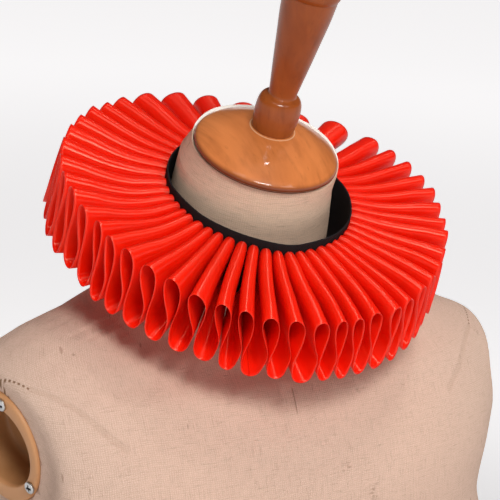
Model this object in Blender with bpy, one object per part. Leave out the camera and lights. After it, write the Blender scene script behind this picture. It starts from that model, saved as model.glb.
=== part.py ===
"""A pleated ruff collar on a limbless dress form: satin ruffle, neckband, torso, cap, knob and arm sockets.

Metres, +Z up, the form faces -Y and stands on the flat face of its hips at the origin.
"""

import math

import bmesh
import bpy
import numpy as np
from mathutils import Matrix, Vector

MM = 0.001
GAP = 0.3 * MM  # room left between two pieces that touch

# The ruff's own frame: its centre on the form, and how far it leans forward.
RUFF_CENTRE = Vector((0.0, -10 * MM, 700 * MM))
RUFF_LEAN = math.radians(19.0)

# Ruffle: one strip of satin, set in upright folds round the neckband.
CLOTH_WALL = 1.0 * MM
CREST_REACH = 155 * MM  # from the ruff's centre to the outer edge, at the crests
VALLEY_REACH = 158 * MM
RUFFLE_TOP = 0.0 * MM  # height of the crests above the ruff's centre
RIM_BOTTOM = -57 * MM  # the valleys at the outer edge
BAND_END_BOTTOM = -47 * MM  # the valleys at the neckband
VALLEY_WAVE_SHARE = 0.6  # the valleys follow this much of the crests' rise and fall round the rim
FOLD_SLANT = 2.2  # degrees that each valley is turned on from the middle of its two crests
POINTS_PER_HALF_FOLD = 8
RADIAL_STEPS = 3

# Neckband: black twill, an oval with a slight point at the front.
BAND_WALL = 1.2 * MM
BAND_RADIUS = 74.5 * MM
BAND_OVAL = 1.5 * MM  # longer front to back, narrower side to side
BAND_TOP = 7 * MM
BAND_BOTTOM = -50 * MM
BAND_POINT = 3.0 * MM
BAND_POINT_ANGLE = math.radians(-13)
BAND_POINT_SPREAD = math.radians(14)
BAND_START = math.radians(-211)
BAND_END = math.radians(144)
BAND_LAP = math.radians(24)  # the tongue that passes under the other end
BAND_LAP_STEP = math.radians(5)
BAND_SEGMENTS = 72
BAND_ROWS = 1

# Crests of the ruffle, in order round the neck from one end of the strip to the other, front at 0.
# angle: degrees at the outer edge, towards the form's left. turn: degrees more at the neckband.
# rise: millimetres above the ruffle's own rim line.
CRESTS = (
    # angle, turn, rise
    (-205.0, 1.5, -4.0),
    (-192.5, 0.8, -1.0),
    (-181.5, 0.5, 0.0),
    (-169.0, 0.0, 1.0),
    (-159.5, -0.5, 0.5),
    (-152.0, -0.5, 0.0),
    (-145.0, 0.5, 1.0),
    (-137.5, 0.0, -0.5),
    (-129.0, 0.5, 0.0),
    (-119.5, -0.8, 0.5),
    (-110.0, -0.5, 0.0),
    (-102.0, 0.0, -1.0),
    (-94.0, 0.5, 0.5),
    (-86.0, -0.4, 0.0),
    (-79.0, 0.4, 0.5),
    (-73.5, -0.6, -0.5),
    (-67.0, 1.6, 1.0),
    (-59.5, 1.2, 0.0),
    (-52.5, 0.8, 0.5),
    (-45.0, 0.2, -0.5),
    (-37.5, 0.2, 0.0),
    (-31.0, 0.1, 0.5),
    (-24.0, 0.7, 0.0),
    (-17.0, -0.5, 0.0),
    (-9.0, -2.2, -0.5),
    (-3.0, -2.0, 0.5),
    (2.5, -0.8, 0.0),
    (8.5, 1.8, 0.5),
    (16.5, 0.4, 0.0),
    (22.5, 0.0, -0.5),
    (30.0, -0.4, 0.5),
    (36.5, 0.5, 0.0),
    (43.0, 0.8, 1.0),
    (50.5, -0.5, 0.0),
    (59.5, 0.4, 0.5),
    (66.0, -0.4, -0.5),
    (73.5, 0.6, 0.0),
    (81.0, 0.0, 0.5),
    (88.0, -0.5, 0.0),
    (95.5, 0.4, 0.5),
    (103.0, 0.0, 0.0),
    (111.0, -0.5, -0.5),
    (124.5, 0.5, 0.0),
    (137.5, -1.5, -4.0),
)
STRIP_START = -210.5  # degrees, the strip's first edge
STRIP_END = 143.5
SEAM_AFTER = 22  # the two lengths of the strip are joined in the valley after this many crests

# Half a fold, from its crest (across 0, depth 0) to the valley beside it (across 0.5, depth 1).
# rim: share of the fold's pitch at the outer edge. band: the same at the neckband.
HALF_FOLD = (
    # depth, rim, band
    (0.000, 0.000, 0.000),
    (0.020, 0.150, 0.130),
    (0.100, 0.270, 0.220),
    (0.230, 0.310, 0.245),
    (0.400, 0.230, 0.250),
    (0.560, 0.120, 0.250),
    (0.700, 0.080, 0.250),
    (0.830, 0.090, 0.255),
    (0.930, 0.190, 0.290),
    (0.985, 0.330, 0.380),
    (1.000, 0.500, 0.500),
)

# Torso, as level sections: millimetres, with the depth given to the front and to the back of y = 0.
# square: 2 is an ellipse, more is squarer. tip: degrees that the section leans forward.
TORSO = (
    # height, half width, front, back, square, tip
    (0, 168, 116, 118, 2.3, 0),
    (22, 171, 118, 121, 2.3, 0),
    (80, 172, 119, 124, 2.3, 0),
    (160, 161, 113, 112, 2.3, 0),
    (240, 152, 106, 98, 2.3, 0),
    (320, 178, 117, 101, 2.6, 0),
    (390, 220, 132, 112, 3.1, 0),
    (440, 218, 129, 119, 3.0, 0),
    (485, 227, 125, 121, 3.0, 0),
    (522, 242, 112, 120, 2.8, 0),
    (547, 245, 97, 116, 2.6, -1),
    (563, 239, 86, 104, 2.5, -2),
    (577, 217, 72, 84, 2.4, -1),
    (590, 182, 62, 82, 2.3, 0),
    (603, 152, 52, 80, 2.2, 3),
    (617, 118, 50, 78, 2.1, 7),
    (631, 92, 49, 79, 2.0, 12),
    (645, 76, 49, 79, 2.0, 15),
    (660, 69, 52, 71, 2.0, 17),
    (680, 66, 57, 63.5, 2.0, 19),
    (700, 64, 61.5, 58, 2.0, 20),
    (718, 62, 66, 53, 2.0, 20),
)
TORSO_SEGMENTS = 40
TORSO_RINGS = 30

# Neck cap and knob share one leaning axis, which starts in the plane of the cap's widest line.
CAP_CENTRE = Vector((0.0, -17 * MM, 736.5 * MM))
CAP_LEAN = math.radians(20.0)
TURNED_SIDES = 34
KNOB_SIDES = 20

# The cap's turned outline, from its flat underside to the flat seat of the knob, in millimetres.
CAP = (
    # height, radius
    (-5.0, 55.0),
    (-3.5, 56.9),
    (-1.0, 57.5),
    (1.2, 57.0),
    (2.4, 54.6),
    (5.9, 48.9),
    (10.5, 40.2),
    (14.1, 31.6),
    (16.4, 24.2),
    (17.9, 17.5),
)

# The neck's top edge, just under the cap: millimetres below the cap's underside, and radius.
NECK_TOP = (
    # below, radius
    (4.0, 61.0),
    (1.2, 60.0),
    (0.0, 57.0),
)

# The knob's turned outline, above the cap's seat, in millimetres.
KNOB = (
    # height, radius
    (0.0, 16.2),
    (7.0, 17.6),
    (14.0, 18.4),
    (20.0, 18.0),
    (25.0, 16.4),
    (28.4, 13.8),
    (29.6, 10.4),
    (41.0, 11.2),
    (61.0, 14.0),
    (97.0, 19.2),
    (113.0, 21.2),
    (118.5, 20.8),
    (124.0, 17.6),
    (129.0, 11.5),
    (131.0, 5.0),
)

# Arm sockets: a plate with a deep round well, let into a flat on each shoulder. The plate is an oval, taller
# than it is wide.
SOCKETS = {
    "right": dict(side=-1, centre=(-213.5, -13.5, 521.0), forward=18.0, down=8.0, blend_radius=95.0),
    "left": dict(side=1, centre=(222.5, -13.5, 521.0), forward=8.0, down=8.0, blend_radius=62.0),
}
SOCKET_RADIUS = 46.8 * MM
SOCKET_RADIUS_ACROSS = 42 * MM
SOCKET_WELL_RADIUS = 33.2 * MM
SOCKET_DEPTH = 38 * MM
SOCKET_FLOOR = 4 * MM
SOCKET_EDGE = 1.5 * MM  # its edges are eased by this much
SOCKET_RAISED = 3 * MM  # how far the plate stands out of the flat
FLAT_RADIUS = 49 * MM  # the shoulder is flat this far from the socket's axis, and itself from blend_radius on
POCKET_CUTTER_REACH = 60 * MM  # how far the cutter of the socket's pocket runs past the shoulder
SCREW_CIRCLE = 39.2 * MM
SCREW_ANGLES = (12, 126, 246)  # degrees round from the top of the socket, towards the front
SCREW_RADIUS = 4.8 * MM
SCREW_HEIGHT = 2.2 * MM
SCREW_SIDES = 10
SCREW_DOME = (
    # share of the height, share of the radius
    (0.00, 0.96),
    (0.45, 1.00),
    (0.76, 0.86),
    (0.96, 0.44),
)
SCREW_SLOT = 1.2 * MM
SCREW_SLOT_LENGTH = 5.6 * MM


def clear_scene():
    for obj in list(bpy.data.objects):
        bpy.data.objects.remove(obj, do_unlink=True)


def material(name, colour, roughness, metallic=0.0):
    made = bpy.data.materials.new(name)
    made.use_nodes = True
    shader = made.node_tree.nodes["Principled BSDF"]
    shader.inputs["Base Color"].default_value = (*colour, 1.0)
    shader.inputs["Roughness"].default_value = roughness
    shader.inputs["Metallic"].default_value = metallic
    return made


def object_from(name, points, faces, finish, smooth_below=None):
    """A mesh object from points and faces; edges flatter than smooth_below are shaded smooth."""
    mesh = bpy.data.meshes.new(name)
    mesh.from_pydata([tuple(float(v) for v in p) for p in points], [], faces)
    mesh.update()
    obj = bpy.data.objects.new(name, mesh)
    bpy.context.scene.collection.objects.link(obj)
    mesh.materials.append(finish)
    if smooth_below is not None:
        mesh.shade_smooth()
        mesh.set_sharp_from_angle(angle=smooth_below)
    return obj


def smooth_rows(table, steps):
    """Rows read at evenly spaced places along a table, on a Catmull-Rom curve through its rows."""
    rows = np.asarray(table, float)
    padded = np.vstack([2 * rows[0] - rows[1], rows, 2 * rows[-1] - rows[-2]])
    place = np.linspace(0, len(rows) - 1, steps + 1)
    start = np.minimum(place.astype(int), len(rows) - 2)
    t = (place - start)[:, None]
    a, b, c, d = (padded[start + k] for k in range(4))
    return 0.5 * (2 * b + (c - a) * t + (2 * a - 5 * b + 4 * c - d) * t**2 + (3 * b - a - 3 * c + d) * t**3)


def walled_sheet(grid, thickness):
    """Points and faces of a closed wall of this thickness, with the grid of points at its middle."""
    along = np.gradient(grid, axis=0)
    across = np.gradient(grid, axis=1)
    normal = np.cross(along, across)
    normal /= np.linalg.norm(normal, axis=2, keepdims=True)
    rows, columns = grid.shape[:2]
    points = np.concatenate([grid + normal * thickness / 2, grid - normal * thickness / 2]).reshape(-1, 3)
    number = np.arange(2 * rows * columns).reshape(2, rows, columns)
    top, under = number
    faces = []
    for i in range(rows - 1):
        for j in range(columns - 1):
            faces.append((top[i, j], top[i + 1, j], top[i + 1, j + 1], top[i, j + 1]))
            faces.append((under[i, j], under[i, j + 1], under[i + 1, j + 1], under[i + 1, j]))
    loop_top = np.concatenate([top[:-1, 0], top[-1, :-1], top[:0:-1, -1], top[0, :0:-1]])
    loop_under = np.concatenate([under[:-1, 0], under[-1, :-1], under[:0:-1, -1], under[0, :0:-1]])
    count = len(loop_top)
    for k in range(count):
        following = (k + 1) % count
        faces.append((loop_top[k], loop_under[k], loop_under[following], loop_top[following]))
    return points, [tuple(int(v) for v in face) for face in faces]


def ruff_point(angle, radius, height):
    """Places on the ruff: angle from the front towards the form's left, in the ruff's leaning frame."""
    angle, radius, height = np.broadcast_arrays(angle, radius, height)
    side = radius * np.sin(angle)
    forward = radius * np.cos(angle)
    cos_lean = math.cos(RUFF_LEAN)
    sin_lean = math.sin(RUFF_LEAN)
    y = -forward * cos_lean - height * sin_lean
    z = -forward * sin_lean + height * cos_lean
    return np.stack([side + RUFF_CENTRE.x, y + RUFF_CENTRE.y, z + RUFF_CENTRE.z], axis=-1)


def crest_reach(angle):
    """The outer edge at the crests is nearly round: a little less at the front, a little more at the sides."""
    return CREST_REACH - (2.5 * np.cos(angle) + 1.5 * np.cos(2 * angle)) * MM


def valley_reach(angle):
    """The outer edge at the valleys spreads a little more, most of all at the back right."""
    once = -4.6 * np.cos(angle) - 1.8 * np.sin(angle)
    twice = 1.5 * np.cos(2 * angle) + 3.0 * np.sin(2 * angle)
    return VALLEY_REACH + (once + twice) * MM


def rim_wave(angle):
    """How far the ruff's rim line rises: it droops at the front and back and lifts at the sides."""
    once = -4.1 * np.cos(angle) - 2.8 * np.sin(angle)
    twice = -6.8 * np.cos(2 * angle) + 2.1 * np.sin(2 * angle)
    return (once + twice) * MM


def band_radius(angle):
    """Middle of the neckband's wall: an oval with a soft point near the front."""
    point = BAND_POINT * np.exp(-(((angle - BAND_POINT_ANGLE) / BAND_POINT_SPREAD) ** 2))
    return BAND_RADIUS + BAND_OVAL * np.cos(2 * angle) + point


def fold_stations():
    """Turning points of the strip, in order: (angle at rim, angle at band, rise, is crest) in radians and metres."""
    crests = np.array(CRESTS)
    stations = [(STRIP_START, STRIP_START + 1.0, 0.0, False)]
    for k, (angle, turn, rise) in enumerate(crests):
        stations.append((angle, angle + turn, rise * MM, True))
        if k + 1 < len(crests):
            middle = (angle + crests[k + 1, 0]) / 2
            inner = (angle + turn + crests[k + 1, 0] + crests[k + 1, 1]) / 2
            stations.append((middle + FOLD_SLANT, inner, 0.0, False))
    stations.append((STRIP_END, STRIP_END - 1.0, 0.0, False))
    return [(math.radians(a), math.radians(b), rise, crest) for a, b, rise, crest in stations]


def ruffle_grid(stations):
    """Middle surface of a length of the strip: half folds side by side, each from the neckband to the rim."""
    outward = np.linspace(0, 1, RADIAL_STEPS + 1)
    half = smooth_rows(HALF_FOLD, POINTS_PER_HALF_FOLD)
    depth, rim_share, band_share = half[:, :1], half[:, 1:2], half[:, 2:3]
    share = 2 * (band_share + (rim_share - band_share) * outward)
    pieces = []
    for start, end in zip(stations[:-1], stations[1:]):
        crest, valley = (start, end) if start[3] else (end, start)
        rim_angle = crest[0] + (valley[0] - crest[0]) * share
        band_angle = crest[1] + (valley[1] - crest[1]) * share
        angle = band_angle + (rim_angle - band_angle) * outward
        top = RUFFLE_TOP + rim_wave(crest[0]) * outward**2 + crest[2] * outward
        bottom = BAND_END_BOTTOM + (RIM_BOTTOM - BAND_END_BOTTOM) * outward
        bottom = bottom + VALLEY_WAVE_SHARE * rim_wave(valley[0]) * outward**2
        height = top + (bottom - top) * depth
        reach = crest_reach(crest[0]) + (valley_reach(valley[0]) - crest_reach(crest[0])) * depth
        inner = band_radius(angle) + BAND_WALL / 2 + GAP
        radius = inner + (reach - inner) * outward
        grid = ruff_point(angle, radius, height)
        grid = grid if start[3] else grid[::-1]
        pieces.append(grid if not pieces else grid[1:])
    return np.concatenate(pieces)


def add_ruffle(finish):
    """The strip in two lengths, which meet in a valley with a small gap between their ends."""
    stations = fold_stations()
    cut = 2 * SEAM_AFTER
    half_gap = (GAP + CLOTH_WALL) / 2 / band_radius(0.0)
    rim, inner, rise, crest = stations[cut]
    right_end = (rim - half_gap, inner - half_gap, rise, crest)
    left_start = (rim + half_gap, inner + half_gap, rise, crest)
    lengths = {
        "ruffle_right": stations[:cut] + [right_end],
        "ruffle_left": [left_start] + stations[cut + 1 :],
    }
    for name, part in lengths.items():
        points, faces = walled_sheet(ruffle_grid(part)[::-1], CLOTH_WALL)
        object_from(name, points, faces, finish, math.radians(50))


def add_neckband(finish):
    """The band runs round the neck, steps in by its own wall and laps under its first end."""
    angle = np.linspace(BAND_START, BAND_END + BAND_LAP, BAND_SEGMENTS + 1)
    stepped = np.clip((angle - BAND_END) / BAND_LAP_STEP, 0, 1)
    radius = band_radius(angle) - (BAND_WALL + GAP) * stepped**2 * (3 - 2 * stepped)
    height = np.linspace(BAND_BOTTOM, BAND_TOP, BAND_ROWS + 1)
    grid = ruff_point(angle[:, None], radius[:, None], height[None, :])
    points, faces = walled_sheet(grid, BAND_WALL)
    object_from("neckband", points, faces, finish, math.radians(50))


def torso_rings():
    """Sections of the torso, as closed rings of points from the hips to the top of the neck."""
    height, width, front, back, square, tip = smooth_rows(TORSO, TORSO_RINGS).T[:, :, None]
    turn = np.linspace(0, 2 * np.pi, TORSO_SEGMENTS, endpoint=False)[None, :]
    side = np.sign(np.sin(turn)) * np.abs(np.sin(turn)) ** (2 / square)
    ahead = np.sign(np.cos(turn)) * np.abs(np.cos(turn)) ** (2 / square)
    middle = (back - front) / 2
    half_depth = (back + front) / 2
    x = width * side
    y = middle - half_depth * ahead
    z = height + (y - middle) * np.tan(np.radians(tip))
    rings = np.stack([x, y, z], axis=-1) * MM
    for socket in SOCKETS.values():
        rings = flattened(rings, socket)
    return rings


def flattened(points, socket):
    """Draws the points round a socket onto the level of its flat, less and less as they lie further off."""
    matrix = np.array(socket_frame(socket))
    blend_radius = socket["blend_radius"] * MM
    out = matrix[:3, 2]
    offset = points - matrix[:3, 3]
    height = offset @ out
    away = np.linalg.norm(offset - height[..., None] * out, axis=-1)
    share = np.clip((blend_radius - away) / (blend_radius - FLAT_RADIUS), 0, 1)
    share = share**2 * (3 - 2 * share) * (height > -blend_radius)
    return points + (share * (-SOCKET_RAISED - height))[..., None] * out


def lofted(rings):
    """Points and faces of a closed body through rings that run upwards, with flat ends."""
    rows, sides = rings.shape[:2]
    number = np.arange(rows * sides).reshape(rows, sides)
    faces = []
    for i in range(rows - 1):
        for j in range(sides):
            k = (j + 1) % sides
            faces.append((number[i, j], number[i, k], number[i + 1, k], number[i + 1, j]))
    faces.append(tuple(number[0][::-1]))
    faces.append(tuple(number[-1]))
    return rings.reshape(-1, 3), [tuple(int(v) for v in face) for face in faces]


def leaning_frame(centre, lean):
    return Matrix.Translation(centre) @ Matrix.Rotation(lean, 4, "X")


def turned(name, outline, frame, finish, sides=TURNED_SIDES):
    """A solid turned about its frame's Z axis, from rows that run upwards: height, radius and, where the ring is
    an oval, its radius across."""
    turn = np.linspace(0, 2 * np.pi, sides, endpoint=False)
    rings = np.array([[(row[-1] * math.sin(t), -row[1] * math.cos(t), row[0]) for t in turn] for row in outline])
    points, faces = lofted(rings)
    placed = [frame @ Vector(p) for p in points]
    return object_from(name, placed, faces, finish, math.radians(40))


def add_neck_top(rings):
    """Ends the torso in the flat, rounded top of the neck, square to the cap's axis."""
    frame = leaning_frame(CAP_CENTRE, CAP_LEAN)
    turn = np.linspace(0, 2 * np.pi, TORSO_SEGMENTS, endpoint=False)
    added = []
    for below, radius in np.array(NECK_TOP) * MM:
        height = CAP[0][0] * MM - GAP - below
        added.append([frame @ Vector((radius * math.sin(t), -radius * math.cos(t), height)) for t in turn])
    return np.concatenate([rings, np.array(added)])


def socket_frame(socket):
    """Z points out of the socket, and its X lies level."""
    forward, down = math.radians(socket["forward"]), math.radians(socket["down"])
    out = Vector(
        (
            socket["side"] * math.cos(down) * math.cos(forward),
            -math.cos(down) * math.sin(forward),
            -math.sin(down),
        )
    )
    level = Vector((0, 0, 1)).cross(out).normalized()
    upward = out.cross(level)
    frame = Matrix((level, upward, out)).transposed().to_4x4()
    return Matrix.Translation(Vector(socket["centre"]) * MM) @ frame


def subtract(obj, cutter, name):
    cutter.hide_render = True
    cutter.display_type = "WIRE"
    boolean = obj.modifiers.new(name, "BOOLEAN")
    boolean.operation = "DIFFERENCE"
    boolean.solver = "EXACT"
    boolean.object = cutter


def add_torso(finish):
    points, faces = lofted(add_neck_top(torso_rings()))
    torso = object_from("form_torso", points, faces, finish, math.radians(40))
    size = (SOCKET_RADIUS + GAP, SOCKET_RADIUS_ACROSS + GAP)
    pocket = ((-SOCKET_DEPTH - GAP, *size), (POCKET_CUTTER_REACH, *size))
    for word, socket in SOCKETS.items():
        cutter = turned(f"pocket_cutter_{word}", pocket, socket_frame(socket), finish)
        subtract(torso, cutter, f"pocket {word}")


def add_socket(word, finish, metal):
    """A cup with a flat plate at its mouth, and the cross-head screws that hold it."""
    frame = socket_frame(SOCKETS[word])
    whole = (SOCKET_RADIUS, SOCKET_RADIUS_ACROSS)
    eased = (SOCKET_RADIUS - SOCKET_EDGE, SOCKET_RADIUS_ACROSS - SOCKET_EDGE)
    outline = (
        (-SOCKET_DEPTH, *eased),
        (-SOCKET_DEPTH + SOCKET_EDGE, *whole),
        (-SOCKET_EDGE, *whole),
        (0.0, *eased),
        (0.0, SOCKET_WELL_RADIUS + SOCKET_EDGE),
        (-SOCKET_EDGE, SOCKET_WELL_RADIUS),
        (-SOCKET_DEPTH + SOCKET_FLOOR, SOCKET_WELL_RADIUS),
    )
    turned(f"arm_socket_{word}", outline, frame, finish)
    for number, degrees in enumerate(SCREW_ANGLES, start=1):
        around = math.radians(degrees)
        to_front = -SOCKETS[word]["side"]  # the frame's X runs to the back on the left, to the front on the right
        x = to_front * math.sin(around) * SCREW_CIRCLE
        y = math.cos(around) * SCREW_CIRCLE
        place = frame @ Matrix.Translation((x, y, GAP)) @ Matrix.Rotation(around, 4, "Z")
        add_screw(f"socket_screw_{word}_{number}", place, metal)


def add_screw(name, frame, finish):
    """A low domed head with a cross recess."""
    outline = [(height * SCREW_HEIGHT, radius * SCREW_RADIUS) for height, radius in SCREW_DOME]
    head = turned(name, outline, frame, finish, sides=SCREW_SIDES)
    for turn in (0.0, math.pi / 2):
        bar = bmesh.new()
        bmesh.ops.create_cube(bar, size=1.0)
        size = Matrix.Diagonal((SCREW_SLOT_LENGTH, SCREW_SLOT, SCREW_HEIGHT, 1))
        lifted = Matrix.Translation((0, 0, SCREW_HEIGHT * 0.95))
        bmesh.ops.transform(bar, matrix=frame @ Matrix.Rotation(turn, 4, "Z") @ lifted @ size, verts=bar.verts)
        mesh = bpy.data.meshes.new(f"{name}_slot")
        bar.to_mesh(mesh)
        bar.free()
        cutter = bpy.data.objects.new(f"{name}_slot_{round(math.degrees(turn))}", mesh)
        bpy.context.scene.collection.objects.link(cutter)
        subtract(head, cutter, f"slot {round(math.degrees(turn))}")


def add_cap_and_knob(finish):
    """A shallow turned dome with a rounded rim, and the knob on its flat seat."""
    frame = leaning_frame(CAP_CENTRE, CAP_LEAN)
    turned("neck_cap", [(height * MM, radius * MM) for height, radius in CAP], frame, finish)
    seat = CAP[-1][0] * MM + GAP
    knob = [(seat + height * MM, radius * MM) for height, radius in KNOB]
    turned("neck_knob", knob, frame, finish, sides=KNOB_SIDES)


def main():
    clear_scene()
    satin = material("red satin", (0.80, 0.012, 0.004), 0.38)
    twill = material("black twill", (0.012, 0.011, 0.014), 0.85)
    linen = material("natural linen", (0.60, 0.42, 0.33), 0.9)
    varnished = material("varnished wood", (0.55, 0.20, 0.05), 0.25)
    plastic = material("tan socket", (0.45, 0.27, 0.15), 0.5)
    steel = material("screw steel", (0.75, 0.76, 0.78), 0.35, 1.0)
    add_torso(linen)
    for word in SOCKETS:
        add_socket(word, plastic, steel)
    add_cap_and_knob(varnished)
    add_neckband(twill)
    add_ruffle(satin)


main()
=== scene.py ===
import functools
import math

import bmesh
import bpy
import numpy as np
from mathutils import Matrix, Vector


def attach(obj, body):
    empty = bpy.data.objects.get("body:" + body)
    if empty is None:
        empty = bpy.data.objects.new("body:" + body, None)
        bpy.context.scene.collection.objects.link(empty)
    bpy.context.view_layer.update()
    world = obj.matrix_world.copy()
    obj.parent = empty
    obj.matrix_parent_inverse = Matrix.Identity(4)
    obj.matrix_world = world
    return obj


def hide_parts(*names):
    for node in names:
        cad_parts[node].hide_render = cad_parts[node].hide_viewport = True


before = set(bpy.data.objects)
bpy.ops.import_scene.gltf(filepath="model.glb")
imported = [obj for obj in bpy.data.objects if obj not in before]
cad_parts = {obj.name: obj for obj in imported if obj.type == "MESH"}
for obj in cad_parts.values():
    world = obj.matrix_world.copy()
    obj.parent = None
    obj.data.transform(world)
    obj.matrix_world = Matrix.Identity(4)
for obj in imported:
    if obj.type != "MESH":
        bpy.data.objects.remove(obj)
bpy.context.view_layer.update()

mm = 0.001
fullTurn = 2 * math.pi
clearance = 0.0003  # left free between two pieces, in metres


def smoothStep(value, low, high):
    # 0 below low, 1 above high, and 3t^2 - 2t^3 between them
    t = np.clip((value - low) / (high - low), 0, 1)
    return t * t * (3 - 2 * t)


def hump(value, centre, spread):
    # a bell: e to the minus square of (value - centre) / spread
    return np.exp(-(((value - centre) / spread) ** 2))


def ripple(place, seed):
    # a smooth uneven line: the sum of five sines whose lengths and starts follow from the seed
    k = np.arange(1, 6)
    turns = 0.37 * k + 0.61 * np.modf(seed * 0.7548 * k)[0]
    starts = fullTurn * np.modf(seed * 0.5698 * k + 0.31 * k)[0]
    return np.sin(np.asarray(place)[..., None] * turns + starts).sum(axis=-1) / math.sqrt(len(k))


def smoothRows(table, count):
    # a Catmull-Rom curve through a table's rows, read at this many evenly spread places
    rows = np.asarray(table, float)
    padded = np.vstack([2 * rows[0] - rows[1], rows, 2 * rows[-1] - rows[-2]])
    place = np.linspace(0, len(rows) - 1, count)
    start = np.clip(place.astype(int), 0, len(rows) - 2)
    t = (place - start)[..., None]
    a, b, c, d = (padded[start + k] for k in range(4))
    return 0.5 * (2 * b + (c - a) * t + (2 * a - 5 * b + 4 * c - d) * t**2 + (3 * b - a - 3 * c + d) * t**3)


def gridOf(down, across):
    # a grid of pairs: the first number runs down the rows, the second across
    return np.stack(np.meshgrid(down, across, indexing="ij"), axis=-1)


def runLength(points, axis=0):
    # the way along lines of points, from 0: the steps between neighbours, added up
    step = np.linalg.norm(np.diff(points, axis=axis), axis=-1)
    return np.insert(np.cumsum(step, axis=axis), 0, 0, axis=axis)


def leaningPlace(points, centre, leanDegrees):
    # points in a frame that leans forward about X by this angle, brought to the world
    lean = math.radians(leanDegrees)
    cos, sin = math.cos(lean), math.sin(lean)
    return points @ np.array([[1, 0, 0], [0, cos, sin], [0, -sin, cos]]) + centre


def surface(name, grid, uv=None, closed=False):
    # a mesh over a grid of points, a quad between each four neighbours, with its own UV map
    rows, columns = grid.shape[:2]
    corner = np.arange(rows * columns).reshape(rows, columns)
    around = [corner[:-1, :-1], corner[:-1, 1:], corner[1:, 1:], corner[1:, :-1]]
    quads = np.stack(around, axis=-1).reshape(-1, 4)
    mesh = bpy.data.meshes.new(name)
    mesh.vertices.add(corner.size)
    mesh.vertices.foreach_set("co", grid.astype(np.float32).ravel())
    mesh.loops.add(quads.size)
    mesh.loops.foreach_set("vertex_index", quads.ravel().astype(np.int32))
    mesh.polygons.add(len(quads))
    mesh.polygons.foreach_set("loop_start", np.arange(0, quads.size, 4, dtype=np.int32))
    mesh.update(calc_edges=True)
    if uv is not None:
        layer = mesh.uv_layers.new(name="cloth")
        layer.data.foreach_set("uv", uv.reshape(-1, 2)[quads.ravel()].astype(np.float32).ravel())
    mesh.validate()
    if closed:
        # sews the seam of a turned grid and its poles
        sewn = bmesh.new()
        sewn.from_mesh(mesh)
        bmesh.ops.remove_doubles(sewn, verts=sewn.verts, dist=mm / 1000)
        sewn.to_mesh(mesh)
        sewn.free()
    mesh.shade_smooth()
    piece = bpy.data.objects.new(name, mesh)
    bpy.context.scene.collection.objects.link(piece)
    return piece


def turnedSurface(name, outline, sides, place):
    # a turned body: rows of height, radius and perhaps radius across, carried round
    outline = np.asarray(outline, float)
    turn = np.linspace(0, fullTurn, sides + 1)
    high, wide, across = outline[:, :1], outline[:, 1:2], outline[:, -1:]
    local = np.stack([across * np.sin(turn), -wide * np.cos(turn), high + 0 * turn], axis=-1)
    uv = gridOf(runLength(outline[:, :2]), turn * wide.max())[..., ::-1]
    return surface(name, place(local)[:, ::-1], uv[:, ::-1], closed=True)


class Sock:
    # one output socket, so that node maths can be written as a Python expression
    def __init__(self, tree, socket):
        self.tree, self.socket = tree, socket

    def maths(self, operation, *values):
        return node(self.tree, "ShaderNodeMath", {"operation": operation}, values)

    def __add__(self, other):
        return self.maths("ADD", self, other)

    def __radd__(self, other):
        return self.maths("ADD", other, self)

    def __sub__(self, other):
        return self.maths("SUBTRACT", self, other)

    def __rsub__(self, other):
        return self.maths("SUBTRACT", other, self)

    def __mul__(self, other):
        return self.maths("MULTIPLY", self, other)

    def __rmul__(self, other):
        return self.maths("MULTIPLY", other, self)


def node(tree, kind, settings, values, output=0):
    # a node of this kind: its settings first, then its sockets by number or name
    made = tree.nodes.new(kind)
    for name, value in settings.items():
        setattr(made, name, value)
    pairs = values.items() if isinstance(values, dict) else enumerate(values)
    for key, value in pairs:
        if isinstance(value, Sock):
            tree.links.new(value.socket, made.inputs[key])
        else:
            made.inputs[key].default_value = value
    return Sock(tree, made.outputs[output])


def sine(value):
    return value.maths("SINE", value)


def absolute(value):
    return value.maths("ABSOLUTE", value)


def larger(first, second):
    return first.maths("MAXIMUM", first, second)


def largest(values):
    return functools.reduce(larger, values)


def stripes(value, spacing):
    # even stripes at this spacing, from 0 between them to 1 in their middles
    return sine(value * (fullTurn / spacing)) * 0.5 + 0.5


def between(value, low, high):
    # 0 below low, 1 above high, and a smooth step between them
    return node(value.tree, "ShaderNodeMapRange", {"interpolation_type": "SMOOTHSTEP"},
                {"Value": value, "From Min": low, "From Max": high})


def vectorMaths(operation, first, *others):
    # a vector, or a number where the operation gives one
    output = 1 if operation in ("LENGTH", "DOT_PRODUCT") else 0
    return node(first.tree, "ShaderNodeVectorMath", {"operation": operation}, (first, *others), output)


def fromPoint(where, point):
    # the way there from a point
    return vectorMaths("SUBTRACT", where, tuple(point))


def alongAxis(where, start, axis):
    # how far along an axis: the way's dot product with its direction
    return vectorMaths("DOT_PRODUCT", fromPoint(where, start), tuple(axis))


def fromAxis(where, start, axis):
    # how far from an axis: the length of the way's cross product with its direction
    return vectorMaths("LENGTH", vectorMaths("CROSS_PRODUCT", fromPoint(where, start), tuple(axis)))


def noise(where, scale, detail=2.0, rough=0.5, stretch=None):
    # soft noise, its coordinates multiplied first where it is stretched
    if stretch is not None:
        where = vectorMaths("MULTIPLY", where, stretch)
    return node(where.tree, "ShaderNodeTexNoise", {},
                {"Vector": where, "Scale": scale, "Detail": detail, "Roughness": rough})


def blend(share, first, second):
    # the first colour where the share is 0, the second where it is 1
    first, second = (value if isinstance(value, Sock) else (*value, 1.0) for value in (first, second))
    colours = {0: share, 6: first, 7: second}
    return node(share.tree, "ShaderNodeMix", {"data_type": "RGBA"}, colours, output=2)


def layered(under, look, **masks):
    # a look's colours laid over one another, each by its mask times its share
    for name, mask in masks.items():
        share, over = look[name]
        under = blend(mask * share, under, over)
    return under


def coordinates(tree, kind="Object"):
    return node(tree, "ShaderNodeTexCoord", {}, (), kind)


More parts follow.
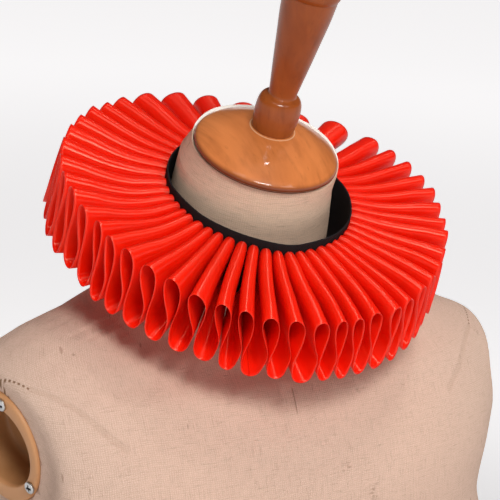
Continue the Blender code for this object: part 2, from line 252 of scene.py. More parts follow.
def splitUp(where):
    # the three numbers of a vector
    made = node(where.tree, "ShaderNodeSeparateXYZ", {}, (where,)).socket.node
    return [Sock(where.tree, output) for output in made.outputs]


def newMaterial(name, **fixed):
    # a Principled material, with its constant values set on its own sockets
    made = bpy.data.materials.new(name)
    made.use_nodes = True
    shader = made.node_tree.nodes["Principled BSDF"]
    for key, value in fixed.items():
        socket = shader.inputs[key.replace("_", " ")]
        socket.default_value = (*value, 1.0) if socket.type == "RGBA" else value
    return made, made.node_tree, shader


def feed(shader, key, value):
    value.tree.links.new(value.socket, shader.inputs[key])


def relief(shader, height, depth, strength):
    # bumps of this depth in metres where the height goes from 0 to 1
    values = {"Strength": strength, "Distance": depth, "Height": height}
    feed(shader, "Normal", node(height.tree, "ShaderNodeBump", {}, values))


def finish(piece, material, nodeName):
    # a piece's material, its body, and the solid that it stands for, which is hidden
    piece.data.materials.clear()
    piece.data.materials.append(material)
    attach(piece, "root")
    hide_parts(nodeName)


# one strip of satin, set in upright folds round the neckband; lengths in metres
ruffle = dict(
    centre=(0.0, -0.010, 0.700), leanDegrees=19.0, wall=0.00035,
    crestReach=0.155, valleyReach=0.158,  # from the centre to the rim
    rimBottom=-0.057, bandBottom=-0.047,  # the valleys' height at the rim and at the band
    foldedWidth=0.081,
    slant=0.0085, slantMore=0.0025,  # how far the walls swing aside at the rim, and how it varies
    slantBack=0.42,  # the share of it that their lower half takes back
    stripStart=-210.5, stripEnd=143.5, endTurn=1.0,  # degrees at the rim, and how much less at the band
    seamAfter=22,  # folds on the right piece
    pointsPerHalfFold=26, outwardSteps=30, smoothings=2,
    noseSteps=5, nosePower=1.4,  # the rows of points that stand closer by the band
    noseDrop=0.0004, noseNarrowing=0.06,
    noseLength=0.040,  # crests round down to the band over this share of their length
    loop=(0.20, 0.17), loopGain=0.30,  # depth and spread of a loop's widest part, and what fullness adds
    throat=(0.73, 0.14), throatGain=0.055,  # the same for the throat, and what pinch adds
    uvWidth=0.080,  # the width that the strip's pattern is drawn to
    lustreReach=0.20,  # the threads' lustre circles the centre in a box of this reach
)

# how the rim's height and reach change round the neck, in millimetres
rimWaves = dict(
    # name: the shares of cos and sin of the angle, and of cos and sin of twice the angle
    height=(-4.1, -2.8, -6.8, 2.1),
    crestReach=(-2.5, 0.0, -1.5, 0.0),
    valleyReach=(-4.6, -1.8, 1.5, 3.0),
)

# small unevenness of the folds
uneven = dict(
    # name: millimetres, seed
    swing=(0.35, 3.0),
    ridge=(0.2, 5.0),
    valley=(1.2, 7.0),
    rim=(0.8, 11.0),
)

# One row for each crest, in order round the neck, front at 0.
# angle: degrees at the rim. turn: degrees more at the band. rise: mm. full: width of the loop.
# pinch: width of the throat under it. skew: how much wider its later side is. bow: mm sideways at
# half length. lean: mm that the lower half swings to the side. sag: mm that the ridge dips
foldRows = (
    (-205.0, 1.5, -4.0, 1.10, 1.3, 0.0, 0.8, 0.0, 1.5),
    (-192.5, 0.8, -1.0, 1.05, 1.1, 0.1, -0.6, 0.5, 1.0),
    (-181.5, 0.5, 0.0, 1.10, 1.0, 0.0, 0.7, -0.5, 1.2),
    (-169.0, 0.0, 1.0, 1.15, 1.2, -0.1, -1.0, 0.5, 1.5),
    (-159.5, -0.5, 0.5, 1.00, 0.8, 0.1, 0.6, 0.0, 0.8),
    (-152.0, -0.5, 0.0, 0.95, 1.0, 0.0, 0.9, 0.5, 1.0),
    (-145.0, 0.5, 1.0, 1.00, 0.9, 0.0, 1.1, 0.0, 1.3),
    (-137.5, 0.0, -0.5, 1.05, 1.0, 0.1, 1.2, -0.5, 1.1),
    (-129.0, 0.5, 0.0, 1.05, 1.1, 0.0, 1.5, 0.5, 1.5),
    (-119.5, -0.8, 0.5, 1.10, 0.9, -0.1, 1.8, 0.0, 1.8),
    (-110.0, -0.5, 0.0, 1.00, 1.0, 0.0, 1.9, 0.5, 2.0),
    (-102.0, 0.0, -1.0, 0.95, 0.8, 0.1, 2.0, 0.0, 2.2),
    (-94.0, 0.5, 0.5, 1.00, 1.0, 0.0, 1.9, -0.5, 2.1),
    (-86.0, -0.4, 0.0, 1.00, 1.1, -0.1, 1.6, 0.5, 2.2),
    (-79.0, 0.4, 0.5, 0.95, 0.9, 0.0, 1.3, 0.0, 1.9),
    (-73.5, -0.6, -0.5, 0.90, 0.9, 0.1, 0.9, 0.5, 1.5),
    (-67.0, 1.6, 1.0, 1.00, 1.0, 0.0, 0.6, 0.0, 1.6),
    (-59.5, 1.2, 0.0, 1.05, 1.2, -0.1, 0.2, -0.5, 1.4),
    (-52.5, 0.8, 0.5, 1.00, 0.9, 0.0, -0.4, 0.5, 1.2),
    (-45.0, 0.2, -0.5, 1.05, 0.8, 0.1, -0.9, 0.5, 1.3),
    (-37.5, 0.2, 0.0, 1.05, 0.9, 0.1, -1.1, 0.0, 1.1),
    (-31.4, 0.5, 0.5, 0.95, 0.7, 0.0, -1.3, 0.5, 0.9),
    (-24.0, 0.4, 0.0, 1.00, 0.6, -0.1, -1.2, 1.0, 1.0),
    (-17.0, -0.5, 0.0, 0.95, 0.7, 0.1, -1.4, 0.0, 1.0),
    (-9.0, -2.2, -0.5, 1.05, 1.0, 0.1, -0.4, -0.5, 0.9),
    (-3.0, -2.0, 0.5, 0.95, 0.6, 0.0, 0.9, -1.0, 0.8),
    (2.5, -0.8, 0.0, 0.95, 0.8, 0.0, 1.0, 0.0, 1.0),
    (8.5, 1.8, 0.5, 1.05, 1.0, 0.1, 1.1, 0.5, 1.2),
    (16.5, 0.4, 0.0, 1.00, 0.9, 0.0, 0.8, 0.0, 0.9),
    (22.5, 0.0, -0.5, 0.95, 0.8, -0.1, 0.5, 0.5, 1.0),
    (30.0, -0.4, 0.5, 1.00, 1.0, 0.0, 0.7, 0.0, 1.1),
    (36.5, 0.5, 0.0, 0.95, 0.9, 0.1, 0.4, -0.5, 1.0),
    (43.0, 0.8, 1.0, 1.00, 0.9, 0.0, 0.6, 0.5, 1.2),
    (50.5, -0.5, 0.0, 1.05, 1.1, 0.0, -0.3, 0.0, 1.3),
    (59.5, 0.4, 0.5, 1.05, 1.0, 0.1, -0.7, 0.5, 1.4),
    (66.0, -0.4, -0.5, 0.95, 0.8, -0.1, -0.9, 0.0, 1.2),
    (73.5, 0.6, 0.0, 1.00, 1.0, 0.0, -1.0, -0.5, 1.5),
    (81.0, 0.0, 0.5, 1.00, 0.9, 0.1, -1.2, 0.5, 1.6),
    (88.0, -0.5, 0.0, 1.00, 1.0, 0.0, -1.0, 0.0, 1.8),
    (95.5, 0.4, 0.5, 1.00, 0.8, 0.0, -1.2, 0.5, 1.7),
    (103.0, 0.0, 0.0, 1.05, 1.0, 0.1, -0.8, 0.0, 1.4),
    (111.0, -0.5, -0.5, 1.10, 1.1, 0.0, -0.9, -0.5, 1.6),
    (124.5, 0.5, 0.0, 1.15, 1.2, 0.0, 0.7, 0.5, 1.4),
    (137.5, -1.5, -4.0, 1.10, 1.3, 0.0, -0.8, 0.0, 1.5),
)

# Half a fold, from its crest down to the valley beside it. Each column after the depth is how far across
# the fold's pitch the wall stands there: at the rim, at half length and at the band
halfFold = (
    # depth, rim, middle, band
    (0.000, 0.000, 0.000, 0.000),
    (0.008, 0.105, 0.130, 0.245),
    (0.035, 0.214, 0.256, 0.385),
    (0.080, 0.288, 0.340, 0.436),
    (0.135, 0.324, 0.380, 0.455),
    (0.205, 0.330, 0.384, 0.458),
    (0.300, 0.300, 0.344, 0.430),
    (0.395, 0.240, 0.270, 0.370),
    (0.480, 0.172, 0.188, 0.300),
    (0.550, 0.114, 0.106, 0.240),
    (0.610, 0.080, 0.056, 0.200),
    (0.665, 0.068, 0.036, 0.180),
    (0.725, 0.072, 0.036, 0.172),
    (0.790, 0.090, 0.060, 0.176),
    (0.850, 0.112, 0.104, 0.190),
    (0.895, 0.136, 0.136, 0.206),
    (0.932, 0.176, 0.180, 0.234),
    (0.962, 0.240, 0.244, 0.280),
    (0.982, 0.312, 0.314, 0.336),
    (0.995, 0.400, 0.400, 0.410),
    (1.000, 0.500, 0.500, 0.500),
)

# The neckband, in metres and degrees round the neck
band = dict(
    wall=0.0012, radius=0.0745, oval=0.0015, top=0.0050, bottom=-0.050,
    point=0.003, pointAngle=-13.0, pointSpread=14.0,
    start=-211.0, end=144.0, lap=24.0, lapStep=5.0,
    stepsRound=420, stepsUp=14, stepsOverFold=7,
    edgeWave=0.4, edgeSeed=4.0,  # millimetres that the upper edge wanders
)


def roundTheRuff(angle, radius, height):
    # angle from the front towards the form's left, radius and height in the ruff's own leaning frame
    angle, radius, height = np.broadcast_arrays(angle, radius, height)
    local = np.stack([radius * np.sin(angle), -radius * np.cos(angle), height], axis=-1)
    return leaningPlace(local, ruffle["centre"], ruffle["leanDegrees"])


def bandRadius(angle):
    # an oval with a soft point near the front
    point = hump(angle, math.radians(band["pointAngle"]), math.radians(band["pointSpread"]))
    return band["radius"] + band["oval"] * np.cos(2 * angle) + band["point"] * point


def rimWave(name, angle):
    # a cos(angle) + b sin(angle) + c cos(2 angle) + d sin(2 angle)
    a, b, c, d = rimWaves[name]
    return (a * np.cos(angle) + b * np.sin(angle) + c * np.cos(2 * angle) + d * np.sin(2 * angle)) * mm


def wander(name, place):
    # the ripple of a named unevenness, in metres
    size, seed = uneven[name]
    return size * mm * ripple(place, seed)


def foldStations(rows):
    # the strip's turning points at the rim and at the band: first end, crest, valley ... last end
    angles = np.stack([rows[:, 0], rows[:, 0] + rows[:, 1]])
    stations = np.empty((2, 2 * len(rows) + 1))
    stations[:, 1::2] = angles
    stations[:, 2:-1:2] = (angles[:, 1:] + angles[:, :-1]) / 2
    stations[:, 0] = ruffle["stripStart"], ruffle["stripStart"] + ruffle["endTurn"]
    stations[:, -1] = ruffle["stripEnd"], ruffle["stripEnd"] - ruffle["endTurn"]
    return np.radians(stations)


def foldShare(depth, rho, shares, fullness, pinch):
    # how far across its pitch a wall stands: a parabola in rho through the shares at rim, middle and
    # band, a hump more for a full loop or throat, and narrower like a finger's tip at the band
    rim, middle, inner = shares
    share = inner * (1 - rho) * (1 - 2 * rho) + 4 * middle * rho * (1 - rho) + rim * rho * (2 * rho - 1)
    share = share + (fullness - 1) * ruffle["loopGain"] * hump(depth, *ruffle["loop"]) * (0.3 + 0.7 * rho)
    share = share + (pinch - 1) * ruffle["throatGain"] * hump(depth, *ruffle["throat"]) * rho
    tip = (1 - smoothStep(rho, 0, ruffle["noseLength"])) * (1 - smoothStep(depth, 0.3, 0.6))
    share = share * (1 - ruffle["noseNarrowing"] * tip)
    return np.where(depth <= 0, 0, np.where(depth >= 1, 0.5, share))


def outwardPlaces():
    # places from 0 at the band to 1 at the rim, closer together by the band
    near = ruffle["noseLength"]
    nose = near * np.linspace(0, 1, ruffle["noseSteps"] + 1)[:-1] ** ruffle["nosePower"]
    return np.concatenate([nose, np.linspace(near, 1, ruffle["outwardSteps"])])


def ruffleStrip(first, last):
    # middle surface of the strip between two turning points. Each half fold is a row of points from crest
    # to valley, carried out from band to rim, with its angle, height and reach blended between the two
    rows = np.asarray(foldRows)
    stations = foldStations(rows)[:, :, None, None]
    half = np.arange(first, last)
    fromCrest = half % 2 == 1
    crestAt = np.where(fromCrest, half, half + 1)
    valleyAt = np.where(fromCrest, half + 1, half)
    _, _, rise, full, pinch, skew, _, _, sag = rows[(crestAt - 1) // 2].T[:, :, None, None]
    side = np.where(fromCrest, 1, -1)[:, None, None]
    rho = outwardPlaces()[None, None, :]
    depth, *shares = smoothRows(halfFold, ruffle["pointsPerHalfFold"] + 1).T[:, None, :, None]
    depth = np.clip(depth, 0, 1)
    share = foldShare(depth, rho, shares, full * (1 + skew * side), pinch)
    crestRim, crestBand = stations[:, crestAt]
    valleyRim, valleyBand = stations[:, valleyAt]
    rimAngle = crestRim + (valleyRim - crestRim) * 2 * share
    bandAngle = crestBand + (valleyBand - crestBand) * 2 * share
    # what swings sideways is read along the strip, so that neighbours never cross
    crests = np.arange(len(rows)) * 2 + 1
    half, crestAt, valleyAt = (at[:, None, None] for at in (half, crestAt, valleyAt))
    strip = half + np.where(side > 0, share * 2, 1 - share * 2)
    bow = np.interp(strip, crests, rows[:, 6]) * mm * np.sin(np.pi * rho)
    bow = bow + wander("swing", half * 0.9) * np.sin(2 * np.pi * rho)
    lean = np.interp(strip, crests, rows[:, 7]) * mm * np.sin(np.pi * depth) * rho
    slant = (ruffle["slant"] - ruffle["slantMore"] * np.sin(crestRim)) * rho
    slant = slant * (depth - ruffle["slantBack"] * smoothStep(depth, 0.5, 1.0))
    angle = bandAngle + (rimAngle - bandAngle) * rho
    angle = angle + (bow + lean + slant) / (band["radius"] + ruffle["foldedWidth"] * rho)
    nose = ruffle["noseDrop"] * (1 - smoothStep(rho, 0, ruffle["noseLength"] * 1.3)) ** 2
    sag = sag * mm * np.sin(np.pi * np.clip(rho / 0.75, 0, 1)) + wander("ridge", rho * 5 + crestAt)
    sag = sag * smoothStep(rho, 0, 0.3) * (1 - smoothStep(rho, 0.8, 1))
    top = rimWave("height", crestRim) * rho**2 + rise * mm * rho - nose - sag
    bottom = ruffle["bandBottom"] + (ruffle["rimBottom"] - ruffle["bandBottom"]) * rho
    bottom = bottom + 0.6 * rimWave("height", valleyRim) * rho**2 + wander("valley", valleyAt * 1.7) * rho
    height = top + (bottom - top) * depth
    crestReach = ruffle["crestReach"] + rimWave("crestReach", crestRim)
    valleyReach = ruffle["valleyReach"] + rimWave("valleyReach", valleyRim)
    reach = crestReach + (valleyReach - crestReach) * depth
    reach = reach + wander("rim", crestAt * 1.3 + depth * 1.5 * side)
    start = bandRadius(angle) + band["wall"] / 2 + clearance
    points = roundTheRuff(angle, start + (reach - start) * rho, height)
    # every half fold runs the same way round the neck, and shares its last line with the next one
    points = np.where(fromCrest[:, None, None, None], points, points[:, ::-1])
    return np.concatenate([points[:, :-1].reshape(-1, *points.shape[2:]), points[-1, -1:]])


satin = dict(
    deep=(0.88, 0.007, 0.001), bright=(0.98, 0.014, 0.002),
    lustre=(1.0, 0.70, 0.50), roughness=0.265,
    # share and colour of what is laid over them
    cloudy=(0.35, (0.96, 0.022, 0.004)),
    # painted shade: the cut edge is darkened to dim the light that its thickness catches
    cutEdge=(0.40, (0.66, 0.008, 0.003)),
    # painted shade: darker where the folds gather into the band
    byBand=(0.30, (0.45, 0.003, 0.001)),
)


def satinCloth():
    # fine threads and streaky lustre, with painted shade on its cut edge and by the band
    material, tree, shader = newMaterial(
        "redSatin", Specular_IOR_Level=0.60, Specular_Tint=satin["lustre"], Anisotropic=1.0,
        Anisotropic_Rotation=0.25, Subsurface_Weight=0.18, Subsurface_Scale=0.004,
        Subsurface_Radius=(1.0, 0.08, 0.05))
    uv = coordinates(tree, "UV")
    outward = splitUp(uv)[1]
    threads = noise(uv, 900.0, 2.0, 0.6, (1.0, 0.05, 1.0))
    streaks = noise(uv, 60.0, 3.0, 0.55, (1.0, 0.12, 1.0))
    cloudy = between(noise(coordinates(tree), 14.0), 0.3, 0.8)
    # painted shade along the cut edge
    edge = between(outward, ruffle["uvWidth"] - 0.7 * mm, ruffle["uvWidth"] - 0.2 * mm)
    # painted shade within 10 mm of the band
    byBand = 1 - between(outward, 0.0, 0.010)
    red = blend(streaks, satin["deep"], satin["bright"])
    red = layered(red, satin, cloudy=cloudy, cutEdge=edge, byBand=byBand)
    feed(shader, "Base Color", red)
    feed(shader, "Roughness", satin["roughness"] + streaks * 0.06 + threads * 0.03)
    relief(shader, threads * 0.5 + streaks, 0.1 * mm, 0.30)
    return material


def makeRuffle(material):
    # the strip's two lengths, each thickened evenly about its middle surface
    cut, end = 2 * ruffle["seamAfter"], 2 * len(foldRows)
    lengths = (("ruffleRight", "ruffle_right", 0, cut), ("ruffleLeft", "ruffle_left", cut, end))
    for name, nodeName, first, last in lengths:
        grid = ruffleStrip(first, last)
        for _ in range(ruffle["smoothings"]):
            # the turns are eased: each line moves a little towards its neighbours' middle
            grid[1:-1] += 0.25 * (grid[:-2] - 2 * grid[1:-1] + grid[2:])
        along = runLength(grid[:, -1])
        outward = runLength(grid, axis=1).mean(axis=0)
        piece = surface(name, grid, gridOf(along, outward * ruffle["uvWidth"] / outward[-1]))
        piece.data.use_auto_texspace = False
        piece.data.texspace_location = ruffle["centre"]
        piece.data.texspace_size = [ruffle["lustreReach"]] * 3
        thick = piece.modifiers.new("cloth", "SOLIDIFY")
        thick.thickness = ruffle["wall"]
        thick.offset = 0
        finish(piece, material, nodeName)
        print(name, len(piece.data.polygons) * 4, "triangles,", round(float(along[-1]), 2), "m long")


twill = dict(
    dark=(0.003, 0.0025, 0.003), light=(0.026, 0.021, 0.022),
    lint=(0.20, (0.10, 0.09, 0.10)),  # its share, and its colour
    ribs=0.0016,  # metres from one to the next
)


def twillCloth():
    # near-black twill: slanting ribs, dull, with a little pale lint
    material, tree, shader = newMaterial("blackTwill", Specular_IOR_Level=0.1)
    uv = coordinates(tree, "UV")
    along, up, _ = splitUp(uv)
    ribs = stripes(along + up, twill["ribs"])
    threads = noise(uv, 1400.0, 2.0, 0.6)
    lint = between(noise(uv, 420.0, 3.0, 0.7), 0.66, 0.78)
    feed(shader, "Base Color", layered(blend(ribs, twill["dark"], twill["light"]), twill, lint=lint))
    feed(shader, "Roughness", 0.72 + threads * 0.2)
    relief(shader, ribs * 0.7 + threads * 0.5, 0.3 * mm, 0.8)
    return material


def bandSection():
    # offset from the band's middle, and height: two faces with a rounded fold above and below
    half = band["wall"] / 2
    low, high = band["bottom"] + half, band["top"] - half
    up = np.linspace(low, high, band["stepsUp"])
    fold = np.linspace(0, np.pi, band["stepsOverFold"])[1:-1]
    offset = [0 * up + half, half * np.cos(fold), 0 * up - half, -half * np.cos(fold), [half]]
    height = [up, high + half * np.sin(fold), up[::-1], low - half * np.sin(fold), [low]]
    return np.concatenate(offset), np.concatenate(height)


def makeNeckband(material):
    # the band's section carried round the neck, the lap a wall nearer to it
    angle = np.radians(np.linspace(band["start"], band["end"] + band["lap"], band["stepsRound"]))
    stepIn = smoothStep(angle, math.radians(band["end"]), math.radians(band["end"] + band["lapStep"]))
    middle = bandRadius(angle) - (band["wall"] + clearance) * stepIn
    offset, height = bandSection()
    edge = band["edgeWave"] * mm * ripple(angle[:, None] * 6, band["edgeSeed"])
    edge = edge * smoothStep(height, -0.005, band["top"])
    grid = roundTheRuff(angle[:, None], middle[:, None] + offset, height + edge)
    along = runLength(np.stack([middle * np.sin(angle), middle * np.cos(angle)], axis=-1))
    uv = gridOf(along, runLength(np.stack([offset, height], axis=-1)))
    # each end closes in a point at the middle of its section
    first, last = (0 * ring + ring.mean(axis=1, keepdims=True) for ring in (grid[:1], grid[-1:]))
    grid = np.concatenate([first, grid, last])
    uv = np.concatenate([uv[:1], uv, uv[-1:]])
    piece = surface("neckbandTwill", grid, uv, closed=True)
    finish(piece, material, "neckband")
    print("neckband", round(float(along[-1]), 3), "m long")


# Level sections in millimetres, with the depth given to the front and to the back of y = 0.
torsoRows = (
    # height, half width, front, back, square, tip
    (0, 168, 116, 118, 2.3, 0),
    (22, 171, 118, 121, 2.3, 0),
    (80, 172, 119, 124, 2.3, 0),
    (160, 161, 113, 112, 2.3, 0),
    (240, 152, 106, 98, 2.3, 0),
    (320, 178, 117, 101, 2.6, 0),
    (390, 220, 132, 112, 3.1, 0),
    (440, 218, 129, 119, 3.0, 0),
    (485, 227, 125, 121, 3.0, 0),
    (522, 242, 112, 118, 2.8, 0),
    (547, 245, 97, 111, 2.6, -1),
    (563, 239, 86, 101, 2.5, -2),
    (577, 217, 72, 91, 2.4, -1),
    (590, 182, 62, 84.5, 2.3, 0),
    (603, 152, 52, 80.5, 2.2, 3),
    (617, 118, 50, 78, 2.1, 7),
    (631, 92, 49, 79, 2.0, 12),
    (645, 76, 49, 79, 2.0, 15),
    (660, 68, 52, 71, 2.0, 17),
    (680, 66, 56, 64, 2.0, 19),
    (700, 64, 59, 59, 2.0, 20),
    (718, 61.5, 62.5, 55, 2.0, 20),
)

torso = dict(
    rings=170, segments=240,
    weaveFrom=0.635,  # the neck's own weave starts at this height
    neckTop=0.0585, neckBack=0.0050,  # radius under the cap, and what it gains behind
    edgeRise=0.0055, edgeRound=0.0010,  # the cover's edge stands up this far behind the cap
    edgeTurn=2.6, edgeFades=(0.35, 0.90),
    edgeInside=0.0580, edgeWall=0.0012,
)

# the cap and the knob lean on one axis; the neck's cover folds over just under the cap
cap = dict(
    centre=(0.0, -0.017, 0.7365), leanDegrees=20.0, underside=-0.005,
    sides=120, steps=110, knobSides=96, knobSteps=220,
)

# the arm sockets: an oval plate round a deep round well, let into a flat on each shoulder
socket = dict(
    radius=0.0468, across=0.042, depth=0.038, raised=0.003, flat=0.049, sides=96,
    screwCircle=0.0392, screwAngles=(12, 126, 246),
)

shoulders = (
    # side, centre, degrees forward, degrees down, radius where the flat has blended away
    (-1, (-0.2135, -0.0135, 0.521), 18.0, 8.0, 0.095),
    (1, (0.2225, -0.0135, 0.521), 8.0, 8.0, 0.062),
)


def onCap(points):
    return leaningPlace(points, cap["centre"], cap["leanDegrees"])


def capAxis():
    # a point on the cap's axis, and its direction
    return cap["centre"], onCap(np.array([0, 0, 1])) - cap["centre"]


def socketFrame(side):
    # a shoulder socket's centre, level, upward and outward directions, and blend radius
    _, centre, forward, down, blendTo = shoulders[(side + 1) // 2]
    down, forward = math.radians(down), math.radians(forward)
    out = math.cos(down) * np.array([side * math.cos(forward), -math.sin(forward), -math.tan(down)])
    level = np.cross([0, 0, 1], out)
    level /= np.linalg.norm(level)
    return np.array(centre), level, np.cross(out, level), out, blendTo


def onSocket(side):
    # a socket's own frame brought to the world: level, upward and outward from its centre
    centre, level, up, out, _ = socketFrame(side)
    return lambda points: points @ np.array([level, up, out]) + centre


def withFlats(grid):
    # eased down to a flat round each socket: a point moves along its normal by its share
    for side in (-1, 1):
        centre, _, _, out, blendTo = socketFrame(side)
        offset = grid - centre
        outOf = offset @ out
        away = np.linalg.norm(offset - outOf[..., None] * out, axis=-1)
        share = smoothStep(-away, -blendTo, -socket["flat"]) * (outOf > -blendTo)
        grid = grid + (share * (-socket["raised"] - outOf))[..., None] * out
    return grid


def neckEdge(turn):
    # rings of the cover's top edge: it stands up behind the cap, and passes under it to the middle
    under = 0 * turn + cap["underside"] - clearance
    behind = (1 + np.cos(turn - torso["edgeTurn"])) / 2
    rise = under + torso["edgeRise"] * smoothStep(behind, *torso["edgeFades"])
    outer = torso["neckTop"] + torso["neckBack"] * (2 * behind - 1)
    inner = np.minimum(torso["edgeInside"], outer - torso["edgeWall"])
    small = torso["edgeRound"]
    rings = [(outer + 0.4 * small, rise - 5 * small)]
    for bend in np.linspace(0, np.pi / 2, 7):
        rings.append((outer - small + small * math.cos(bend), rise - small + small * math.sin(bend)))
    rings += [(inner + 0.3 * small, rise), (inner, rise - 0.4 * small), (inner, under)]
    rings += [(0 * turn + radius, under) for radius in (0.045, 0.02, 0.0)]
    radius, height = np.array(rings).transpose(1, 0, 2)
    return onCap(np.stack([radius * np.sin(turn), -radius * np.cos(turn), height], axis=-1))


def torsoGrid():
    # superellipse sections, |x / width|^n + |y / depth|^n = 1, each tipped a little about its middle
    sections = smoothRows(torsoRows, torso["rings"])
    height, width, front, back, square, tip = sections.T[:, :, None]
    turn = np.linspace(-np.pi, np.pi, torso["segments"] + 1)
    circle = np.sin(turn), np.cos(turn)
    side, ahead = (np.sign(part) * np.abs(part) ** (2 / square) for part in circle)
    middle = (back - front) / 2
    y = middle - (back + front) / 2 * ahead
    z = height + (y - middle) * np.tan(np.radians(tip))
    grid = withFlats(np.stack([width * side, y, z], axis=-1) * mm)
    floor = np.array([0, mm, 0])
    hips = [floor + (grid[0] - floor) * (share, share, 1) for share in (0.0, 0.5, 0.97)]
    return np.concatenate([np.array(hips), grid, neckEdge(turn)])


linen = dict(
    pinkish=((0.640, 0.418, 0.318), (0.700, 0.472, 0.364)),
    cream=((0.67, 0.445, 0.300), (0.75, 0.520, 0.365)),
    warp=0.0017, weft=0.0015, wobble=0.0022,  # the threads' spacing, and how far they wander
    # share and colour of what is laid over the ground
    # painted shade: darker and greyer towards the arms, where the sides turn from the light
    nearArm=(0.50, (0.52, 0.385, 0.310)),
    uneven=(0.14, (0.44, 0.29, 0.21)),
    upright=(0.26, (0.42, 0.27, 0.19)),
    level=(1.0, (0.42, 0.28, 0.19)),
    gaps=(0.16, (0.40, 0.25, 0.18)),
    threads=(0.26, (0.94, 0.74, 0.60)),
    slubs=(0.20, (0.34, 0.21, 0.15)),
    grain=(0.24, (0.92, 0.72, 0.60)),
    pulls=(0.45, (0.24, 0.13, 0.08)),
    # painted highlight: the cover's top edge, standing up behind the cap, is painted near white
    topEdge=(1.0, (0.92, 0.84, 0.76)),
    marks=(0.75, (0.20, 0.11, 0.06)),
    stitches=(1.0, (0.26, 0.15, 0.09)),
    # painted shade along the creases beside the seams
    creases=(0.22, (0.40, 0.26, 0.18)),
)

# rubbed marks on the linen: centre and reach in metres
torsoMarks = (
    # x, y, z, reach
    (0.030, -0.119, 0.505, 0.008),
    (0.055, -0.125, 0.481, 0.010),
    (0.098, -0.091, 0.552, 0.003),
    (0.053, -0.093, 0.555, 0.004),
    (0.207, -0.049, 0.567, 0.005),
    (-0.165, -0.033, 0.594, 0.0022),
    (-0.103, -0.052, 0.591, 0.0025),
    (-0.120, 0.105, 0.520, 0.010),
)

# one thread pulled straight in the front, and how it fades aside, below and above
pulledThread = dict(x=-0.0062, aside=(0.0002, 0.0006), low=(0.545, 0.550), high=(0.563, 0.566), share=0.7)

# the seam over each shoulder's front, seen from above on the form's left; the right has the same
armSeam = dict(
    stitched=(((0.2230, -0.0080), (0.2030, -0.0430)),), stitch=0.0042, stitchWidth=0.0008,
    creases=(((0.2030, -0.0430), (0.1680, -0.0770)), ((0.1680, -0.0770), (0.1470, -0.0910))),
    creaseWidth=0.0024,
    above=(0.520, 0.530),
)


def lineMask(where, line, width, stitch=0.0):
    # 1 on a straight line seen from above, fading over this width; in dashes where stitched
    start, end = (np.array([*point, 0.0]) for point in line)
    length = float(np.linalg.norm(end - start))
    along = (end - start) / length
    level = vectorMaths("MULTIPLY", where, (1.0, 1.0, 0.0))
    reach = alongAxis(level, start, along)
    within = between(reach, -3 * mm, mm) * (1 - between(reach, length - mm, length + 3 * mm))
    if stitch:
        within = within * between(sine(reach * (fullTurn / stitch)), -0.3, 0.3)
    return (1 - between(fromAxis(level, start, along), width * 0.3, width)) * within


def spotMask(where, x, y, z, reach):
    # 1 at a point, fading out over its reach
    return 1 - between(vectorMaths("LENGTH", fromPoint(where, (x, y, z))), 0.0, reach)


def seamMask(where, lines, width, stitch=0.0):
    # 1 on any of the lines or their mirror images
    mirrored = [[(-x, y) for x, y in line] for line in lines]
    return largest([lineMask(where, line, width, stitch) for line in [*mirrored, *lines]])


def linenCloth():
    # plain weave stretched over the form: uneven crossing threads, slubs, pulls, rubbed marks, and seams
    # with painted shade along their creases
    material, tree, shader = newMaterial("naturalLinen", Roughness=0.95, Specular_IOR_Level=0.12)
    where = coordinates(tree)
    uv = coordinates(tree, "UV")
    u, v, _ = splitUp(uv)
    x, y, z = splitUp(where)
    wobble = (noise(uv, 160.0) - 0.5) * linen["wobble"]
    weave = stripes(u + wobble, linen["warp"]) * stripes(v + wobble, linen["weft"])
    upright = noise(uv, 620.0, 3.0, 0.65, (1.0, 0.12, 1.0))
    level = noise(uv, 620.0, 3.0, 0.65, (0.12, 1.0, 1.0))
    slubs = larger(between(upright, 0.60, 0.72), between(level, 0.60, 0.72))
    uneven = noise(uv, 150.0, 4.0, 0.7)
    grain = noise(uv, 1100.0, 2.0, 0.7)
    cloudy = noise(where, 9.0, 3.0, 0.55)
    pulls = between(noise(uv, 120.0, 2.0, 0.5, (1.0, 0.25, 1.0)), 0.72, 0.76)
    neck = between(z + y * -0.34, 0.655, 0.675)
    ground = blend(neck, blend(cloudy, *linen["pinkish"]), blend(cloudy, *linen["cream"]))
    under = cap["underside"]
    # painted highlight on the cover's top edge, 1 to 2.2 mm above the cap's underside
    topEdge = between(alongAxis(where, *capAxis()), under + 1.0 * mm, under + 2.2 * mm)
    marks = largest([spotMask(where, *row) for row in torsoMarks])
    marks = marks * between(noise(where, 260.0, 3.0, 0.7, (0.5, 0.5, 1.6)), 0.48, 0.66)
    pulled = 1 - between(absolute(x - pulledThread["x"]), *pulledThread["aside"])
    pulled = pulled * between(z, *pulledThread["low"]) * (1 - between(z, *pulledThread["high"]))
    pulled = pulled * (1 - between(y, -0.02, 0.0))
    onTop = between(z, *armSeam["above"])
    stitches = seamMask(where, armSeam["stitched"], armSeam["stitchWidth"], armSeam["stitch"]) * onTop
    # the creases' lines: grooves in the relief, and painted shade in the colour
    creases = seamMask(where, armSeam["creases"], armSeam["creaseWidth"]) * onTop
    cloth = layered(
        ground, linen,
        # painted shade towards the sides
        nearArm=between(absolute(x), 0.090, 0.225),
        uneven=between(uneven, 0.38, 0.66),
        upright=between(upright, 0.42, 0.70) * (1 - neck),
        level=between(level, 0.42, 0.70) * (0.24 + neck * 0.14),
        gaps=1 - weave, threads=weave, slubs=slubs,
        grain=between(grain, 0.40, 0.70),
        pulls=pulls, topEdge=topEdge, marks=marks,
        stitches=larger(pulled * pulledThread["share"], stitches), creases=creases)
    feed(shader, "Base Color", cloth)
    raised = weave * 0.6 + slubs * 0.7 + grain * 0.5 + level * 0.6 + pulls * 0.6
    relief(shader, raised - stitches * 2.0 - creases * 2.5 - pulled, 0.3 * mm, 0.7)
    return material


